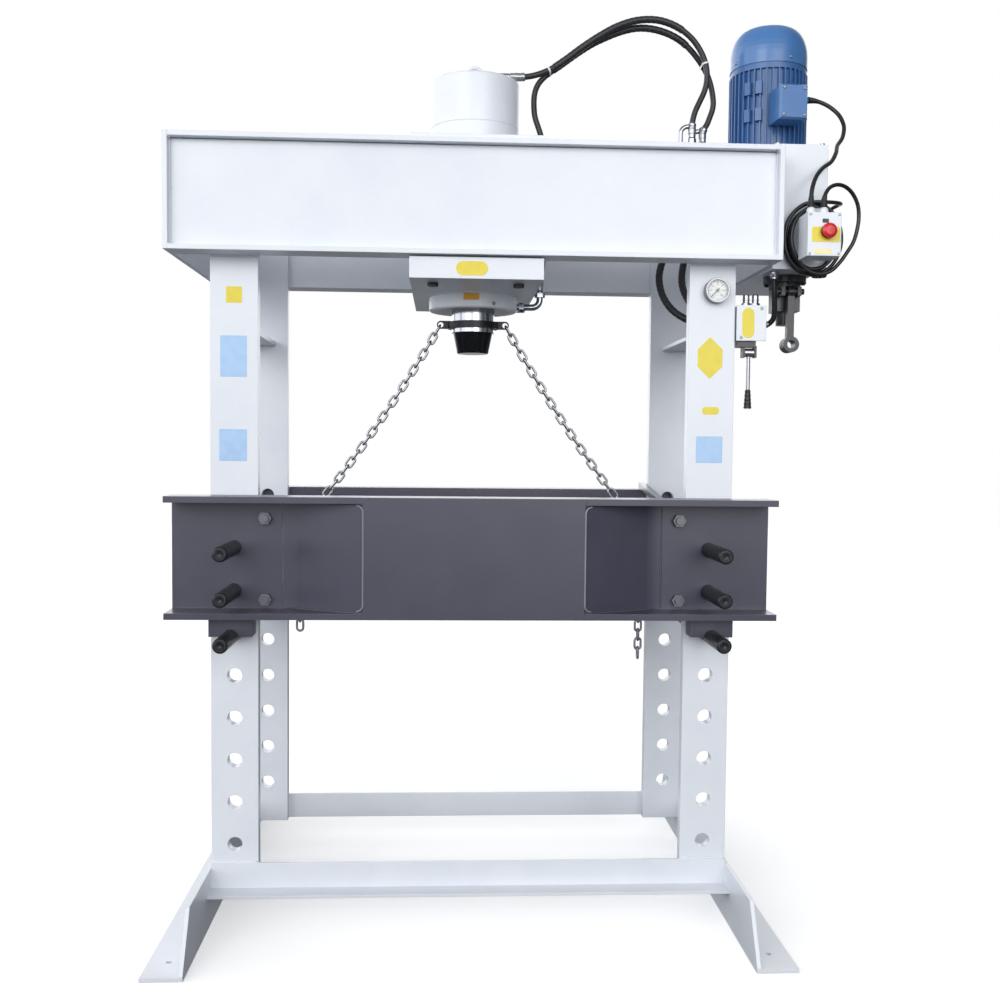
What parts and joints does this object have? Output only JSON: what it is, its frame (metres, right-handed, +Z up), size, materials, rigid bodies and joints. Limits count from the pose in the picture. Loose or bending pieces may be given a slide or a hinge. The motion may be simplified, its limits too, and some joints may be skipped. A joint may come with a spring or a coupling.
{
  "type": "electric hydraulic press",
  "caption": "Motorised hydraulic H-frame workshop press with a pinned height-set table, a sliding cylinder, lifting chains, a side power unit, hand valve and hand pump.",
  "frame": {"origin": "on the floor, in the middle of the four floor anchor holes and under the cylinder's rest position", "axes": "+Z up, -Y towards the operator, +X to the operator's right"},
  "size_m": [1.7635, 1.2, 2.4352],
  "materials": {
    "white_paint": "gloss paint",
    "slate_paint": "satin paint",
    "black_steel": "black oxide",
    "chrome": "bright",
    "zinc": "zinc plated",
    "blue_paint": "gloss paint",
    "rubber": "matt",
    "stop_red": "gloss",
    "grey_plastic": "matt"
  },
  "bodies": {
    "frame": {"left_front_upright": "white_paint", "right_front_upright": "white_paint", "left_rear_upright": "white_paint", "right_rear_upright": "white_paint", "head_front_beam": "white_paint", "head_rear_beam": "white_paint", "head_end_plates": "white_paint", "upright_tie_plates": "white_paint", "left_foot": "white_paint", "right_foot": "white_paint", "stretchers": "white_paint", "front_table_beam": "slate_paint", "rear_table_beam": "slate_paint", "front_table_cover": "slate_paint", "rear_table_cover": "slate_paint", "table_cross_rods": "slate_paint", "chain_tails": "zinc", "table_cross_bar": "black_steel", "oil_tank": "white_paint", "gear_pump": "zinc", "motor_body": "blue_paint", "fan_cover": "blue_paint", "terminal_box": "blue_paint", "motor_cable": "rubber", "starter_box": "grey_plastic", "starter_bracket": "white_paint", "mains_lead": "rubber", "mains_coil": "rubber", "mains_plug": "rubber", "valve_body": "black_steel", "valve_cover": "white_paint", "lower_hoses": "rubber", "pipe_elbows": "chrome", "advance_hose": "rubber", "return_hose": "rubber", "hand_pump": "black_steel", "gauge_case": "chrome"},
    "carriage": {"carriage_top_plate": "white_paint", "carriage_bottom_plate": "white_paint", "carriage_bolts": "black_steel", "cylinder_body": "white_paint", "cylinder_gland": "zinc", "lifting_eye": "zinc", "cylinder_fittings": "chrome"},
    "ram": {"ram_rod": "chrome", "chain_collar": "black_steel", "ram_nose": "black_steel", "left_chain": "zinc", "right_chain": "zinc"},
    "left_upper_pin": {"left_upper_pin": "black_steel"},
    "left_middle_pin": {"left_middle_pin": "black_steel"},
    "left_lower_pin": {"left_lower_pin": "black_steel"},
    "right_upper_pin": {"right_upper_pin": "black_steel"},
    "right_middle_pin": {"right_middle_pin": "black_steel"},
    "right_lower_pin": {"right_lower_pin": "black_steel"},
    "stop_button": {"stop_button": "stop_red"},
    "valve_lever": {"valve_lever": "chrome"},
    "pump_arm": {"pump_arm": "black_steel"},
    "gauge_needle": {"gauge_needle": "black_steel"},
    "motor_rotor": {"motor_rotor": "zinc"}
  },
  "joints": [
    {"name": "carriage_slide", "type": "slide", "parent": "frame", "child": "carriage", "axis": [1, 0, 0], "range_m": [-0.25, 0.25], "deforming": ["advance_hose", "return_hose", "left_chain", "right_chain"]},
    {"name": "ram_slide", "type": "slide", "parent": "carriage", "child": "ram", "axis": [0, 0, -1], "range_m": [0, 0.3], "deforming": ["left_chain", "right_chain"]},
    {"name": "left_upper_pin_pull", "type": "slide", "parent": "frame", "child": "left_upper_pin", "axis": [0, -1, 0], "range_m": [0, 0.55]},
    {"name": "left_middle_pin_pull", "type": "slide", "parent": "frame", "child": "left_middle_pin", "axis": [0, -1, 0], "range_m": [0, 0.55]},
    {"name": "left_lower_pin_pull", "type": "slide", "parent": "frame", "child": "left_lower_pin", "axis": [0, -1, 0], "range_m": [0, 0.55]},
    {"name": "right_upper_pin_pull", "type": "slide", "parent": "frame", "child": "right_upper_pin", "axis": [0, -1, 0], "range_m": [0, 0.55]},
    {"name": "right_middle_pin_pull", "type": "slide", "parent": "frame", "child": "right_middle_pin", "axis": [0, -1, 0], "range_m": [0, 0.55]},
    {"name": "right_lower_pin_pull", "type": "slide", "parent": "frame", "child": "right_lower_pin", "axis": [0, -1, 0], "range_m": [0, 0.55]},
    {"name": "stop_push", "type": "slide", "parent": "frame", "child": "stop_button", "axis": [0, 1, 0], "range_m": [0, 0.005]},
    {"name": "valve_lever_swing", "type": "hinge", "parent": "frame", "child": "valve_lever", "pos_m": [0.711, -0.265, 1.488], "axis": [-1, 0, 0], "range_deg": [-20, 20], "stiffness_Nm_per_rad": 2},
    {"name": "pump_arm_swing", "type": "hinge", "parent": "frame", "child": "pump_arm", "pos_m": [0.844, -0.182, 1.66], "axis": [-1, 0, 0], "range_deg": [-8, 60]},
    {"name": "gauge_needle_turn", "type": "hinge", "parent": "frame", "child": "gauge_needle", "pos_m": [0.618, -0.3, 1.643], "axis": [0, 1, 0], "range_deg": [0, 270], "stiffness_Nm_per_rad": 0.0005},
    {"name": "rotor_spin", "type": "hinge", "parent": "frame", "child": "motor_rotor", "pos_m": [0.83, 0.02, 2.2], "axis": [0, 0, 1], "continuous": true}
  ]
}
